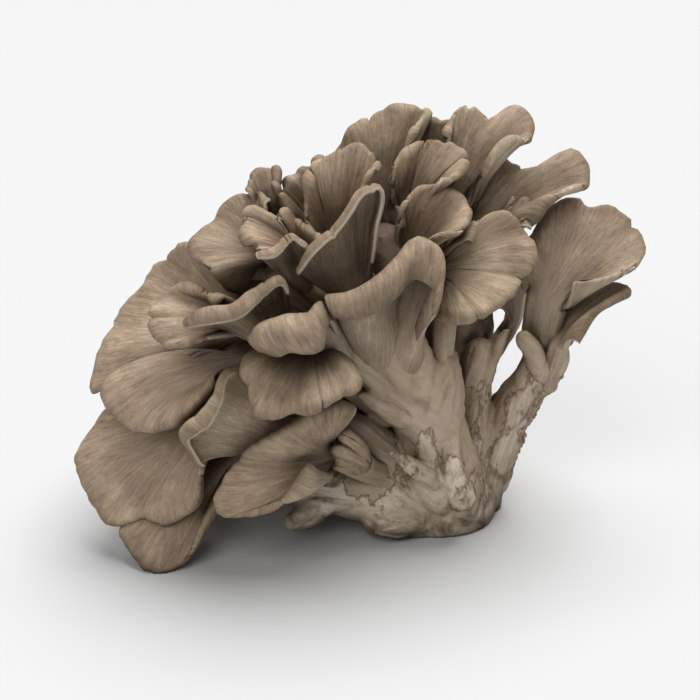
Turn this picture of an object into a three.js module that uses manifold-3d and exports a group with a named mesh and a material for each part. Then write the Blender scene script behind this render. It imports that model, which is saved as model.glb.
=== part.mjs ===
// Maitake mushroom cluster: one cut base with branches, and the fronds that grow from it.
// Millimetres, +Z up. The origin is the middle of the flat cut face the base stands on;
// +X is the side of the upright branch, the fronds lean and spread towards -X.
import * as THREE from "three";
import { mergeVertices } from "three/addons/utils/BufferGeometryUtils.js";
import Module from "manifold-3d";

// ---------------------------------------------------------------- driving dimensions
const GAP = 0.35; // clear space left between any two pieces
const CAP_THICK = 2.6; // flesh of a cap half way out
const RIM_THICK = 1.2; // flesh at the rim of a cap
const BRANCH_SIDES = 8; // flats round a branch
const CAP_ROWS = [0.22, 0.5, 0.78, 1.0]; // rows across a cap, as shares of neck to rim
const LIP_STEPS = 8; // short straights that make up the curl of a lip
const LIP_ROWS = [2, 5, 8]; // the ones a row of faces ends on
const CAP_FULL = 0.45; // share of the way to the rim where a cap has its full thickness
const LOOK_AHEAD = 0.05; // share of a stalk looked ahead to find its direction
const STALK_TURN = 0.5; // how far a stalk has turned towards its cap when it gets there
const FAN_ANGLES = [-105, -62, -22, 22, 62, 105]; // places round the edge of a fan, degrees from its tip
const FAN_STALK = [7, 6]; // width and thickness of the stalk of a fan
const FAN_BEND = 26; // degrees a fan rises at its neck, and turns down at its rim
const LOWEST_RIM = -0.4; // height of the middle of the rims that lie on the table
const CLUSTER_MIDDLE = new THREE.Vector3(-34, 4, 10); // what the fans face away from
const BRANCH_ACROSS = new THREE.Vector3(0.31, -0.95, 0.04); // direction no branch runs along
const RIPPLE_THREE = 0.07; // share of its radius a branch swells by three times round
const RIPPLE_TWO = 0.05; // and twice round
const PHASE_STEP = 1.7; // radians the swelling is turned by from one branch to the next
const TIDY = 0.15; // faces within this of flat are merged after a cut
const ROOM = 400; // size of the block that keeps what is above the table

// ---------------------------------------------------------------- the base and its branches
// Each branch is a run of [x, y, z, radius] stations.
const BRANCHES = [
  ["trunk", [
    [0, -1, -6, 17.5], [0, -2, 5, 17.5], [-1, -5, 13, 16], [-2, -11, 22, 14], [-4, -16, 35, 10.5],
    [-8, -18, 46, 8.5],
  ]],
  ["front_right_stalk", [[-1, -11, 25, 10], [-1, -16, 39, 8], [-1, -19, 51, 6.5], [-1, -20, 59, 5]]],
  ["right_branch", [
    [12, 5, -4, 9], [13, 5, 8, 8.5], [16, 4, 21, 7.8], [21, 3, 31, 7], [26, 1, 40, 6.2],
    [30, 0, 48, 5.5], [32, -1, 55, 4.5],
  ]],
  ["middle_branch", [[7, 2, 9, 10], [9, 0, 23, 8], [9, -1, 36, 6.5], [10, -3, 47, 5.2], [12, -5, 57, 4.2]]],
  ["middle_tip", [[11, -2, 44, 4], [15, -5, 55, 3], [20, -7, 64, 1.2]]],
  ["slim_stalk", [[6, 4, 37, 4], [6, 2, 51, 3.2], [7, 0, 61, 2.6]]],
  ["low_left_front", [
    [-7, -8, 7, 13], [-18, -13, 14, 11.5], [-28, -16, 17, 10], [-38, -19, 20, 8.5],
    [-47, -22, 22, 6],
  ]],
  ["left_front_branch", [[-10, -12, 21, 9], [-17, -17, 28, 7], [-25, -21, 37, 5.5], [-31, -22, 41, 4.5]]],
  ["left_branch", [
    [-1, 3, 20, 11], [-6, 1, 28, 10.5], [-17, -3, 38, 9], [-31, -8, 49, 8], [-43, -13, 56, 6.5],
    [-52, -18, 62, 5],
  ]],
  ["low_left_branch", [
    [-6, 0, 11, 12], [-25, 0, 18, 11], [-44, -3, 25, 9.5], [-59, -8, 29, 8], [-68, -12, 32, 6],
  ]],
  ["upper_left_branch", [
    [-5, 0, 37, 11], [-17, -2, 56, 10], [-30, -6, 70, 8.5], [-41, -12, 80, 7], [-49, -16, 87, 5],
  ]],
  ["upper_branch", [[-4, 0, 39, 11], [-8, 0, 62, 9.5], [-13, 0, 78, 8], [-17, 0, 91, 6]]],
  ["upper_right_branch", [[2, 2, 38, 10], [5, 6, 60, 8], [5, 4, 77, 7], [5, 1, 93, 5.5]]],
  ["back_branch", [[0, 6, 12, 14], [-10, 20, 32, 10], [-18, 28, 48, 7], [-22, 31, 58, 5]]],
  ["back_left_branch", [[-6, 8, 14, 12], [-28, 18, 24, 9], [-46, 22, 32, 7], [-56, 22, 38, 5]]],
  ["back_right_branch", [[4, 6, 22, 12], [10, 18, 44, 8], [12, 22, 60, 6], [12, 24, 68, 4.5]]],
  ["broken_stub", [[-4, -10, 6, 9], [-14, -18, 8, 7.5], [-19, -20, 8, 5.5]]],
  ["front_spike", [[-3, -24, 23, 3.4], [-10, -30, 30, 2.3], [-16, -35, 36, 0.7]]],
  ["left_stub", [[-13, -25, 45, 5], [-18, -29, 49, 3.3], [-25, -32, 53, 1]]],
  ["right_thorn", [[19, 3, 10, 4.5], [23, 1, 21, 2.6], [28, 0, 27, 0.7]]],
  ["right_knob", [[33, -1, 47, 3.6], [36, -4, 53, 3.6], [37, -5, 57, 2.6]]],
  ["right_stub", [[31, -4, 50, 3.8], [28, -8, 58, 3], [25, -10, 63, 2.8]]],
  ["low_tip", [[-34, -22, 17, 5], [-42, -27, 12, 3.5], [-46, -30, 10, 1.2]]],
  ["front_ridge", [[4, -19, 43, 0.9], [3, -24, 35, 2.2], [3, -26, 27, 3], [6, -22, 15, 4]]],
  ["flare_mid", [[-2, -17, 32, 7], [-9, -22, 48, 6], [-14, -27, 60, 5], [-17, -29, 69, 3]]],
  ["flare_right", [[1, -16, 32, 7], [-4, -20, 47, 6], [-7, -25, 60, 4.5], [-9, -29, 71, 2.5]]],
  ["flare_left", [[-4, -16, 32, 7], [-13, -22, 47, 6], [-22, -27, 59, 4.5], [-28, -32, 69, 2.5]]],
];

// ---------------------------------------------------------------- the fronds that face forwards
// root: where the stalk leaves its branch. neck: where the cap starts to spread.
// rim: places on the edge of the cap, left to right seen from its top with the neck below.
// rise: degrees the cap lifts off the straight line at the neck. edge: degrees it turns down at the rim.
// lip, roll: length of flesh curled past each rim place, and the degrees it curls through.
const FRONDS = [
  {
    name: "front_main",
    root: [[-9, -20, 44], [-12, -23, 51]],
    neck: [-16, -26, 59],
    rim: [
      [-9, -34, 74], [-6, -40, 85], [-4, -43, 93], [-4, -40, 99], [-10, -36, 101],
      [-15, -40, 97], [-21, -44, 92], [-28, -46, 89], [-35, -46, 88],
    ],
    stalk: [17, 10],
    rise: -12,
    edge: 8,
    lip: [5, 12, 15, 17, 17, 16, 13, 11, 9],
    roll: 175,
  },
  {
    name: "front_left_lip",
    root: [[-13, -20, 48], [-20, -23, 54]],
    neck: [-29, -28, 62],
    rim: [
      [-32, -38, 76], [-36, -46, 86], [-40, -50, 84], [-46, -52, 84], [-52, -52, 82],
      [-56, -47, 77],
    ],
    stalk: [10, 7],
    rise: -10,
    edge: 8,
    lip: [3, 8, 15, 16, 14, 8],
    roll: 160,
  },
  {
    name: "front_right_lobe",
    root: [[-1, -18, 49], [-1, -21, 66]],
    neck: [0, -20, 86],
    rim: [
      [5, -28, 100], [9, -24, 105], [17, -22, 106], [23, -22, 101], [26, -25, 93],
      [22, -31, 88], [14, -38, 82], [4, -41, 80], [-5, -35, 80],
    ],
    stalk: [9, 8],
    rise: 52,
    edge: 38,
  },
  {
    name: "mid_upper",
    root: [[-2, -8, 65], [-4, -10, 75]],
    neck: [-8, -14, 90],
    rim: [
      [-15, -26, 102], [-13, -24, 110], [-7, -22, 114], [0, -22, 114], [5, -26, 109],
      [3, -36, 105], [-4, -40, 104],
    ],
    stalk: [7, 6],
    rise: 25,
    edge: 35,
  },
  {
    name: "upper_mid",
    root: [[0, 0, 75], [-4, -3, 87]],
    neck: [-10, -6, 102],
    rim: [
      [-17, -16, 110], [-16, -15, 117], [-12, -13, 122], [-5, -12, 126], [1, -14, 125],
      [5, -18, 121], [2, -24, 117], [-3, -26, 116],
    ],
    stalk: [7, 6],
    rise: 22,
    edge: 35,
  },
  {
    name: "top_left_tall",
    root: [[-5, 5, 74], [-12, 4, 87]],
    neck: [-18, 2, 102],
    rim: [
      [-34, -2, 117], [-29, 0, 126], [-22, 2, 129], [-13, 4, 132], [-4, 4, 132],
      [-8, -2, 128], [-10, -6, 122],
    ],
    stalk: [7, 6],
    rise: 18,
    edge: 25,
  },
  {
    name: "top_small",
    root: [[2, 8, 92], [-1, 8, 103]],
    neck: [-3, 8, 114],
    rim: [
      [-9, 4, 121], [-8, 4, 126], [-4, 4, 128], [1, 3, 127], [2, 0, 123],
    ],
    stalk: [6, 5],
    rise: 18,
    edge: 25,
  },
  {
    name: "top_cap",
    root: [[5, 2, 79], [5, 0, 91]],
    neck: [5, -2, 104],
    rim: [
      [0, -2, 125], [3, 2, 131], [7, 3, 133], [14, 2, 130], [21, 2, 132],
      [26, -2, 128], [24, -8, 125], [18, -12, 125], [14, -12, 120],
    ],
    stalk: [8, 7],
    rise: 14,
    edge: 30,
  },
  {
    name: "right_upper",
    root: [[12, 2, 71], [10, -2, 84]],
    neck: [11, -4, 97],
    rim: [
      [11, -4, 113], [14, 0, 116], [24, 2, 116], [32, 2, 115], [40, 4, 118],
      [45, 0, 110], [39, -8, 110], [30, -12, 107], [25, -14, 101],
    ],
    stalk: [8, 6],
    rise: 16,
    edge: 30,
  },
  {
    name: "right_inner_curl",
    root: [[17, 0, 75], [18, -6, 86]],
    neck: [19, -10, 97],
    rim: [
      [19, -10, 106], [21, -8, 108], [24, -10, 107], [25, -14, 103], [23, -17, 100],
    ],
    stalk: [5, 4],
    rise: 14,
    edge: 30,
  },
  {
    name: "right_big",
    root: [[33, 2, 47], [31, -2, 60]],
    neck: [32, -6, 75],
    rim: [
      [23, -4, 76], [24, -5, 90], [31, -2, 100], [37, 2, 104], [46, 5, 102],
      [54, 7, 100], [61, 7, 93], [64, 4, 87], [59, -4, 84], [50, -12, 83],
      [40, -16, 83],
    ],
    stalk: [13, 7],
    rise: 22,
    edge: 30,
  },
  {
    name: "right_lower",
    root: [[33, -2, 45], [34, -4, 51]],
    neck: [36, -6, 60],
    rim: [
      [35, -3, 70], [37, 0, 75], [43, 2, 77], [50, 2, 77], [56, -2, 76],
      [49, -10, 75], [43, -14, 72], [39, -12, 63],
    ],
    stalk: [8, 6],
    rise: 14,
    edge: 20,
    lip: [1, 1, 2, 3, 3, 4, 4, 3],
    roll: 110,
  },
  {
    name: "tall_leaf",
    root: [[-10, -6, 64], [-21, -10, 78]],
    neck: [-31, -14, 94],
    rim: [
      [-41, -27, 103], [-41, -24, 113], [-37, -20, 122], [-30, -18, 124], [-25, -18, 126],
      [-20, -22, 121], [-23, -28, 118], [-26, -30, 110],
    ],
    stalk: [7, 6],
    rise: 20,
    edge: 30,
  },
  {
    name: "behind_leaf",
    root: [[-16, 2, 65], [-28, -2, 79]],
    neck: [-37, -6, 93],
    rim: [
      [-46, -20, 106], [-48, -18, 111], [-45, -14, 114], [-40, -12, 118], [-35, -8, 119],
    ],
    stalk: [7, 6],
    rise: 20,
    edge: 30,
  },
  {
    name: "inner_pointed",
    root: [[-10, -14, 61], [-18, -20, 68]],
    neck: [-26, -26, 79],
    rim: [
      [-22, -36, 95], [-20, -34, 115], [-25, -36, 116], [-28, -38, 112], [-33, -40, 106],
      [-39, -42, 101], [-43, -42, 94],
    ],
    stalk: [7, 6],
    rise: -8,
    edge: 25,
    lip: [1, 3, 4, 4, 4, 4, 2],
    roll: 80,
  },
  {
    name: "small_top_left",
    root: [[-25, -2, 73], [-39, -8, 89]],
    neck: [-51, -14, 104],
    rim: [
      [-58, -20, 111], [-57, -17, 115], [-53, -14, 117], [-49, -14, 118], [-49, -18, 112],
    ],
    stalk: [6, 5],
    rise: 20,
    edge: 30,
  },
  {
    name: "upper_left_dome",
    root: [[-28, -6, 71], [-42, -12, 81]],
    neck: [-54, -20, 92],
    rim: [
      [-60, -28, 82], [-67, -36, 92], [-73, -32, 95], [-74, -28, 97], [-71, -22, 102],
      [-66, -18, 106], [-61, -16, 110], [-55, -18, 112], [-51, -26, 109],
    ],
    stalk: [7, 6],
    rise: 40,
    edge: 30,
  },
  {
    name: "curl_one",
    root: [[-25, -12, 73], [-35, -20, 83]],
    neck: [-46, -28, 96],
    rim: [
      [-52, -42, 101], [-58, -40, 104], [-58, -36, 108], [-54, -32, 110], [-49, -32, 108],
    ],
    stalk: [5, 4],
    rise: 30,
    edge: 30,
  },
  {
    name: "curl_two",
    root: [[-21, -16, 69], [-30, -24, 75]],
    neck: [-41, -32, 86],
    rim: [
      [-39, -40, 98], [-42, -40, 102], [-45, -40, 104], [-50, -44, 101], [-54, -46, 100],
    ],
    stalk: [5, 4],
    rise: -8,
    edge: 25,
    lip: [2, 3, 3, 4, 2],
    roll: 90,
  },
  {
    name: "curl_three",
    root: [[-22, -10, 72], [-31, -18, 84]],
    neck: [-41, -24, 96],
    rim: [
      [-48, -30, 103], [-49, -28, 107], [-46, -26, 107], [-42, -28, 104], [-37, -32, 100],
    ],
    stalk: [5, 4],
    rise: 20,
    edge: 30,
  },
  {
    name: "far_left_big",
    root: [[-28, -4, 57], [-45, -10, 64]],
    neck: [-60, -16, 69],
    rim: [
      [-74, -24, 57], [-88, -24, 52], [-102, -24, 52], [-107, -20, 50], [-105, -16, 58],
      [-101, -12, 69], [-93, -10, 78], [-88, -8, 86], [-81, -10, 91], [-75, -14, 94],
      [-65, -22, 91],
    ],
    stalk: [8, 7],
    rise: 26,
    edge: 25,
  },
  {
    name: "left_mid",
    root: [[-28, -12, 60], [-43, -22, 67]],
    neck: [-59, -30, 75],
    rim: [
      [-69, -44, 75], [-80, -42, 72], [-86, -38, 76], [-86, -34, 82], [-80, -32, 86],
      [-73, -34, 87], [-64, -38, 85],
    ],
    stalk: [7, 6],
    rise: 26,
    edge: 35,
  },
  {
    name: "left_mid_inner",
    root: [[-22, -16, 57], [-34, -24, 63]],
    neck: [-48, -30, 68],
    rim: [
      [-46, -46, 90], [-48, -46, 94], [-54, -48, 91], [-60, -49, 87], [-68, -48, 85],
      [-75, -46, 81],
    ],
    stalk: [7, 6],
    rise: -6,
    edge: 25,
    lip: [2, 4, 5, 6, 6, 3],
    roll: 100,
  },
  {
    name: "left_lower",
    root: [[-27, -10, 48], [-43, -20, 55]],
    neck: [-61, -27, 60],
    rim: [
      [-67, -46, 64], [-75, -48, 55], [-85, -44, 47], [-94, -38, 45], [-101, -32, 50],
      [-101, -28, 55], [-95, -25, 60], [-87, -25, 62], [-75, -30, 64],
    ],
    stalk: [8, 7],
    rise: 28,
    edge: 40,
  },
  {
    name: "centre_low",
    root: [[-17, -18, 41], [-28, -26, 54]],
    neck: [-40, -32, 65],
    rim: [
      [-25, -48, 69], [-26, -54, 65], [-31, -57, 62], [-39, -58, 60], [-48, -58, 57],
      [-56, -55, 60], [-59, -50, 65], [-58, -42, 70],
    ],
    stalk: [8, 7],
    rise: 45,
    edge: 40,
  },
  {
    name: "big_bottom_left",
    root: [[-30, -8, 32], [-50, -14, 34]],
    neck: [-70, -20, 38],
    rim: [
      [-72, -40, 34], [-74, -42, 23], [-83, -40, 15], [-90, -38, 15], [-96, -36, 13],
      [-102, -33, 13], [-109, -28, 19], [-113, -22, 26], [-110, -16, 34], [-102, -15, 42],
    ],
    stalk: [9, 8],
    rise: 26,
    edge: 35,
  },
  {
    name: "outward_fold",
    root: [[-20, -16, 29], [-33, -24, 32]],
    neck: [-48, -31, 38],
    rim: [
      [-59, -42, 66], [-64, -47, 65], [-66, -50, 60], [-70, -51, 55], [-75, -50, 51],
      [-76, -47, 46], [-71, -42, 36],
    ],
    stalk: [8, 7],
    rise: -8,
    edge: 25,
    lip: [2, 3, 4, 6, 6, 5, 2],
    roll: 110,
  },
  {
    name: "bottom_front",
    root: [[-13, -18, 19], [-22, -24, 25]],
    neck: [-35, -30, 34],
    rim: [
      [-38, -46, 35], [-43, -50, 29], [-54, -50, 23], [-66, -46, 21], [-67, -44, 29],
      [-61, -44, 38], [-51, -46, 45], [-35, -46, 55], [-26, -44, 53],
    ],
    stalk: [8, 7],
    rise: 35,
    edge: 40,
  },
  {
    name: "lowest_left",
    root: [[-34, -6, 17], [-50, -12, 23]],
    neck: [-66, -18, 25],
    rim: [
      [-67, -32, 17], [-72, -38, 13], [-75, -41, 7], [-79, -42, 2], [-86, -43, 0],
      [-92, -41, 3], [-98, -36, 9], [-97, -30, 12], [-89, -22, 18], [-79, -18, 25],
    ],
    stalk: [8, 7],
    rise: 24,
    edge: 30,
  },
  {
    name: "young_lobe",
    root: [[-17, -20, 24], [-21, -26, 27]],
    neck: [-25, -31, 31],
    rim: [
      [-26, -38, 32], [-30, -42, 35], [-32, -43, 40], [-30, -42, 44], [-28, -40, 45],
      [-25, -37, 41],
    ],
    stalk: [7, 6],
    rise: 30,
    edge: 40,
  },
  {
    name: "inner_left",
    root: [[-30, 2, 43], [-36, 6, 48]],
    neck: [-43, 10, 53],
    rim: [
      [-56, 14, 52], [-65, 16, 59], [-68, 18, 69], [-65, 20, 75], [-56, 21, 78],
      [-47, 20, 73], [-38, 18, 65],
    ],
    stalk: [8, 6],
    rise: 20,
    edge: 15,
  },
];

// ---------------------------------------------------------------- the fronds behind and beneath
// [name, root, neck, tip, width of the cap]: plain fan shapes that face away from the dome's middle.
const BACK_FRONDS = [
  ["back_low_left", [-56, 22, 38], [-78, 24, 38], [-84, 34, 0], 38],
  ["back_left_lower", [-68, -12, 32], [-98, 6, 54], [-101, 6, 19], 34],
  ["back_left", [-49, -16, 87], [-82, 11, 79], [-101, 22, 49], 38],
  ["back_left_upper", [-49, -16, 87], [-60, 5, 87], [-92, 15, 73], 38],
  ["back_mid_low", [-56, 22, 38], [-68, 41, 53], [-68, 42, 16], 38],
  ["back_mid_left", [-56, 22, 38], [-76, 31, 81], [-84, 48, 49], 38],
  ["back_mid_upper", [-30, -6, 70], [-52, 14, 84], [-68, 40, 68], 36],
  ["back_centre", [-22, 31, 58], [-41, 40, 81], [-42, 58, 49], 38],
  ["back_centre_upper", [-17, 0, 91], [-37, 24, 101], [-37, 54, 81], 38],
  ["back_top_left", [-41, -12, 80], [-38, 1, 90], [-73, 15, 90], 38],
  ["back_top", [-17, 0, 91], [-33, 3, 102], [-28, 39, 98], 38],
  ["back_right_top", [-17, 0, 91], [-8, 14, 102], [9, 43, 86], 38],
  ["back_right_mid", [5, 4, 77], [-4, 31, 84], [4, 51, 53], 38],
  ["back_right", [13, 8, 46], [21, 13, 56], [28, 24, 84], 38],
  ["back_right_low", [4, 18, 38], [2, 26, 52], [2, 48, 30], 34],
  ["back_low", [-22, 31, 58], [-17, 45, 53], [-17, 46, 16], 38],
  ["inner_low", [-40, -2, 50], [-50, 2, 52], [-84, 4, 56], 34],
];

// ---------------------------------------------------------------- small helpers
const vec = (p) => new THREE.Vector3(p[0], p[1], p[2]);
const rad = (degrees) => (degrees * Math.PI) / 180;
const mix = (a, b, t) => a + (b - a) * t;
const smooth = (t) => {
  const s = Math.min(Math.max(t, 0), 1);
  return s * s * (3 - 2 * s);
};

// value of an evenly spaced list at t between 0 and 1
function listAt(list, t) {
  const at = t * (list.length - 1);
  const low = Math.min(Math.floor(at), list.length - 2);
  return mix(list[low], list[low + 1], at - low);
}

// smooth curve through points, t between 0 and 1
function curveAt(points, t) {
  const last = points.length - 1;
  const at = Math.min(t * last, last - 1e-9);
  const i = Math.floor(at);
  const s = at - i;
  const b = points[i];
  const c = points[i + 1];
  const a = i > 0 ? points[i - 1] : b.clone().multiplyScalar(2).sub(c);
  const d = i + 2 <= last ? points[i + 2] : c.clone().multiplyScalar(2).sub(b);
  const out = new THREE.Vector3();
  out.addScaledVector(a, 0.5 * (-s + 2 * s * s - s * s * s));
  out.addScaledVector(b, 0.5 * (2 - 5 * s * s + 3 * s * s * s));
  out.addScaledVector(c, 0.5 * (s + 4 * s * s - 3 * s * s * s));
  out.addScaledVector(d, 0.5 * (-s * s + s * s * s));
  return out;
}

// closed skin through rings that all have the same number of points, ends filled across the ring
function skin(rings) {
  const count = rings[0].length;
  const places = rings.flat();
  const faces = [];
  for (let r = 0; r + 1 < rings.length; r += 1) {
    for (let k = 0; k < count; k += 1) {
      const next = (k + 1) % count;
      const a = r * count + k;
      const b = r * count + next;
      const c = (r + 1) * count + next;
      const d = (r + 1) * count + k;
      faces.push([a, b, c], [a, c, d]);
    }
  }
  const end = (rings.length - 1) * count;
  for (let k = 0; k + 1 < count / 2; k += 1) {
    const far = count - 1 - k;
    faces.push([k + 1, k, far], [k + 1, far, far - 1]);
    faces.push([end + k, end + k + 1, end + far], [end + k + 1, end + far - 1, end + far]);
  }
  return { places, faces };
}

// ---------------------------------------------------------------- a frond: stalk and cap in one skin
function frondRings(frond) {
  const neck = vec(frond.neck);
  const rim = frond.rim.map(vec);
  const columns = rim.length;
  const top = new THREE.Vector3();
  for (let i = 0; i + 1 < rim.length; i += 1) {
    const here = rim[i].clone().sub(neck);
    const next = rim[i + 1].clone().sub(neck);
    top.sub(here.cross(next));
  }
  top.normalize();
  const middle = curveAt(rim, 0.5).sub(neck).normalize();
  const side = middle.clone().cross(top).normalize();
  const [stalkWidth, stalkThick] = frond.stalk;
  const lip = frond.lip ?? null;
  const roll = rad(frond.roll ?? 0);
  const rise = rad(frond.rise);
  const edge = rad(frond.edge);

  const rings = [];
  const ringOf = (rowsTop, rowsBottom) => [...rowsTop, ...rowsBottom.reverse()];
  const turn = (k) => Math.PI * (1 - (k + 0.5) / columns);

  // stalk: ellipses along the curve from the branch to the neck
  const path = [...frond.root.map(vec), neck];
  const lean = top.clone().multiplyScalar(Math.sin(rise)).addScaledVector(middle, Math.cos(rise));
  const stalkRows = frond.root.length + 1;
  for (let row = 0; row < stalkRows; row += 1) {
    const t = row / stalkRows;
    const centre = curveAt(path, t);
    const ahead = curveAt(path, t + LOOK_AHEAD).sub(centre).normalize();
    const along = ahead.lerp(lean, smooth(t) * STALK_TURN).normalize();
    const across = side.clone().addScaledVector(along, -side.dot(along)).normalize();
    const up = across.clone().cross(along).normalize();
    const upper = [];
    const lower = [];
    for (let k = 0; k < columns; k += 1) {
      const spread = across.clone().multiplyScalar((Math.cos(turn(k)) * stalkWidth) / 2);
      const lift = up.clone().multiplyScalar((Math.sin(turn(k)) * stalkThick) / 2);
      upper.push(centre.clone().add(spread).add(lift));
      lower.push(centre.clone().add(spread).sub(lift));
    }
    rings.push(ringOf(upper, lower));
  }

  // cap: one rib a column from the neck to the rim, then the curled lip
  const rows = [0, ...CAP_ROWS];
  const ribs = [];
  for (let k = 0; k < columns; k += 1) {
    const u = k / (columns - 1);
    const start = neck.clone().addScaledVector(side, (Math.cos(turn(k)) * stalkWidth) / 2);
    const finish = curveAt(rim, u);
    const chord = finish.clone().sub(start);
    const length = chord.length();
    chord.normalize();
    const up = top.clone().addScaledVector(chord, -top.dot(chord)).normalize();
    const leave = chord.clone().multiplyScalar(Math.cos(rise)).addScaledVector(up, Math.sin(rise));
    const arrive = chord.clone().multiplyScalar(Math.cos(edge)).addScaledVector(up, -Math.sin(edge));
    const out = up.clone().multiplyScalar(Math.cos(edge)).addScaledVector(chord, Math.sin(edge));
    const pull = length / 3;
    const bend = new THREE.CubicBezierCurve3(
      start,
      start.clone().addScaledVector(leave, pull),
      finish.clone().addScaledVector(arrive, -pull),
      finish,
    );
    const rib = rows.map((v) => bend.getPoint(v));
    if (lip) {
      const step = listAt(lip, u) / LIP_STEPS;
      const place = finish.clone();
      for (let s = 1; s <= LIP_STEPS; s += 1) {
        const done = (s - 0.5) / LIP_STEPS;
        const angle = roll * done * (2 - done);
        place.addScaledVector(arrive, step * Math.cos(angle));
        place.addScaledVector(out, -step * Math.sin(angle));
        if (LIP_ROWS.includes(s)) {
          rib.push(place.clone());
        }
      }
    }
    ribs.push(rib);
  }
  const rowCount = ribs[0].length;
  for (let row = 0; row < rowCount; row += 1) {
    const upper = [];
    const lower = [];
    const v = row / (rowCount - 1);
    for (let k = 0; k < columns; k += 1) {
      const here = ribs[k][row];
      const along = ribs[k][Math.min(row + 1, rowCount - 1)].clone().sub(ribs[k][Math.max(row - 1, 0)]);
      const leftRib = ribs[Math.max(k - 1, 0)][row];
      const rightRib = ribs[Math.min(k + 1, columns - 1)][row];
      const across = rightRib.clone().sub(leftRib);
      const normal = across.cross(along).normalize();
      const stalkHalf = (Math.sin(turn(k)) * stalkThick) / 2;
      const atSide = k === 0 || k === columns - 1;
      const capHalf = (atSide || row === rowCount - 1 ? RIM_THICK : CAP_THICK) / 2;
      const half = mix(stalkHalf, capHalf, smooth(v / CAP_FULL));
      upper.push(here.clone().addScaledVector(normal, half));
      lower.push(here.clone().addScaledVector(normal, -half));
    }
    rings.push(ringOf(upper, lower));
  }
  return rings;
}

// guide points of a plain fan shaped frond that faces away from the middle of the cluster
function fanFrond([name, root, neck, tip, width]) {
  const from = vec(neck);
  const to = vec(tip);
  const along = to.clone().sub(from);
  const length = along.length();
  along.normalize();
  const away = to.clone().lerp(from, 0.5).sub(CLUSTER_MIDDLE).normalize();
  const side = along.clone().cross(away).normalize();
  const half = width / 2;
  const centre = from.clone().addScaledVector(along, length - half);
  const rim = FAN_ANGLES.map((degrees) => {
    const place = centre.clone();
    place.addScaledVector(side, half * Math.sin(rad(degrees)));
    place.addScaledVector(along, half * Math.cos(rad(degrees)));
    return [place.x, place.y, Math.max(place.z, LOWEST_RIM)];
  });
  return { name, root: [root], neck, rim, stalk: FAN_STALK, rise: FAN_BEND, edge: FAN_BEND };
}

// ---------------------------------------------------------------- the base: irregular tapered runs
function branchRings(stations, phase) {
  const centres = stations.map((s) => new THREE.Vector3(s[0], s[1], s[2]));
  return stations.map((station, i) => {
    const before = centres[Math.max(i - 1, 0)];
    const after = centres[Math.min(i + 1, centres.length - 1)];
    const along = after.clone().sub(before).normalize();
    const across = BRANCH_ACROSS.clone().cross(along).normalize();
    const up = along.clone().cross(across).normalize();
    const ring = [];
    for (let k = 0; k < BRANCH_SIDES; k += 1) {
      const angle = (2 * Math.PI * (k + 0.5)) / BRANCH_SIDES;
      const ripple = RIPPLE_THREE * Math.sin(3 * angle + phase + i) + RIPPLE_TWO * Math.sin(2 * angle - phase);
      const reach = station[3] * (1 + ripple);
      const place = centres[i].clone();
      place.addScaledVector(across, reach * Math.cos(angle));
      place.addScaledVector(up, reach * Math.sin(angle));
      ring.push(place);
    }
    return ring;
  });
}

// ---------------------------------------------------------------- solids
const wasm = await Module();
wasm.setup();

// closed solid from rings, every place pushed outwards by grow
function solidOf(rings, grow) {
  const { places, faces } = skin(rings);
  const normals = places.map(() => new THREE.Vector3());
  for (const [a, b, c] of faces) {
    const edgeOne = places[b].clone().sub(places[a]);
    const edgeTwo = places[c].clone().sub(places[a]);
    const normal = edgeOne.cross(edgeTwo);
    normals[a].add(normal);
    normals[b].add(normal);
    normals[c].add(normal);
  }
  const moved = places.map((place, i) => place.clone().addScaledVector(normals[i].normalize(), grow));
  let volume = 0;
  for (const [a, b, c] of faces) {
    volume += moved[a].dot(moved[b].clone().cross(moved[c]));
  }
  if (volume < 0) {
    throw new Error("a skin faces inwards");
  }
  const mesh = new wasm.Mesh({
    numProp: 3,
    vertProperties: new Float32Array(moved.flatMap((p) => [p.x, p.y, p.z])),
    triVerts: new Uint32Array(faces.flat()),
  });
  return new wasm.Manifold(mesh);
}

// the largest separate body of a solid
function largest(solid) {
  const bodies = solid.decompose();
  let best = bodies[0];
  for (const body of bodies) {
    if (body.volume() > best.volume()) {
      best = body;
    }
  }
  return best;
}

const near = (a, b) => {
  for (let axis = 0; axis < 3; axis += 1) {
    if (a.min[axis] > b.max[axis] || b.min[axis] > a.max[axis]) {
      return false;
    }
  }
  return true;
};

// block standing on the table, for keeping what is above it
function tableBlock() {
  const box = new THREE.BoxGeometry(ROOM, ROOM, ROOM).translate(0, 0, ROOM / 2);
  box.deleteAttribute("normal");
  box.deleteAttribute("uv");
  const merged = mergeVertices(box);
  const mesh = new wasm.Mesh({
    numProp: 3,
    vertProperties: merged.getAttribute("position").array,
    triVerts: new Uint32Array(merged.getIndex().array),
  });
  return new wasm.Manifold(mesh);
}

const aboveTable = tableBlock();

function joinBranches(grow) {
  let body = null;
  BRANCHES.forEach(([, stations], index) => {
    const piece = solidOf(branchRings(stations, index * PHASE_STEP), grow);
    body = body ? body.add(piece) : piece;
  });
  return body;
}

const placed = []; // grown solids of what already has its place
const pieces = [];
const base = largest(joinBranches(0).intersect(aboveTable)).simplify(TIDY);
pieces.push(["stem_base", base]);
placed.push(joinBranches(GAP));

const fronds = [...FRONDS, ...BACK_FRONDS.map(fanFrond)];
for (const frond of fronds) {
  const rings = frondRings(frond);
  let body = solidOf(rings, 0).intersect(aboveTable);
  const box = body.boundingBox();
  for (const other of placed) {
    if (near(box, other.boundingBox())) {
      body = body.subtract(other);
    }
  }
  pieces.push([frond.name, largest(body.simplify(TIDY))]);
  placed.push(solidOf(rings, GAP));
}

// ---------------------------------------------------------------- the group of named meshes
const FLESH = 0xb9a78f;
const CAP_BROWN = 0x94836d;
const DULL = 0.8; // roughness of all the flesh

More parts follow.
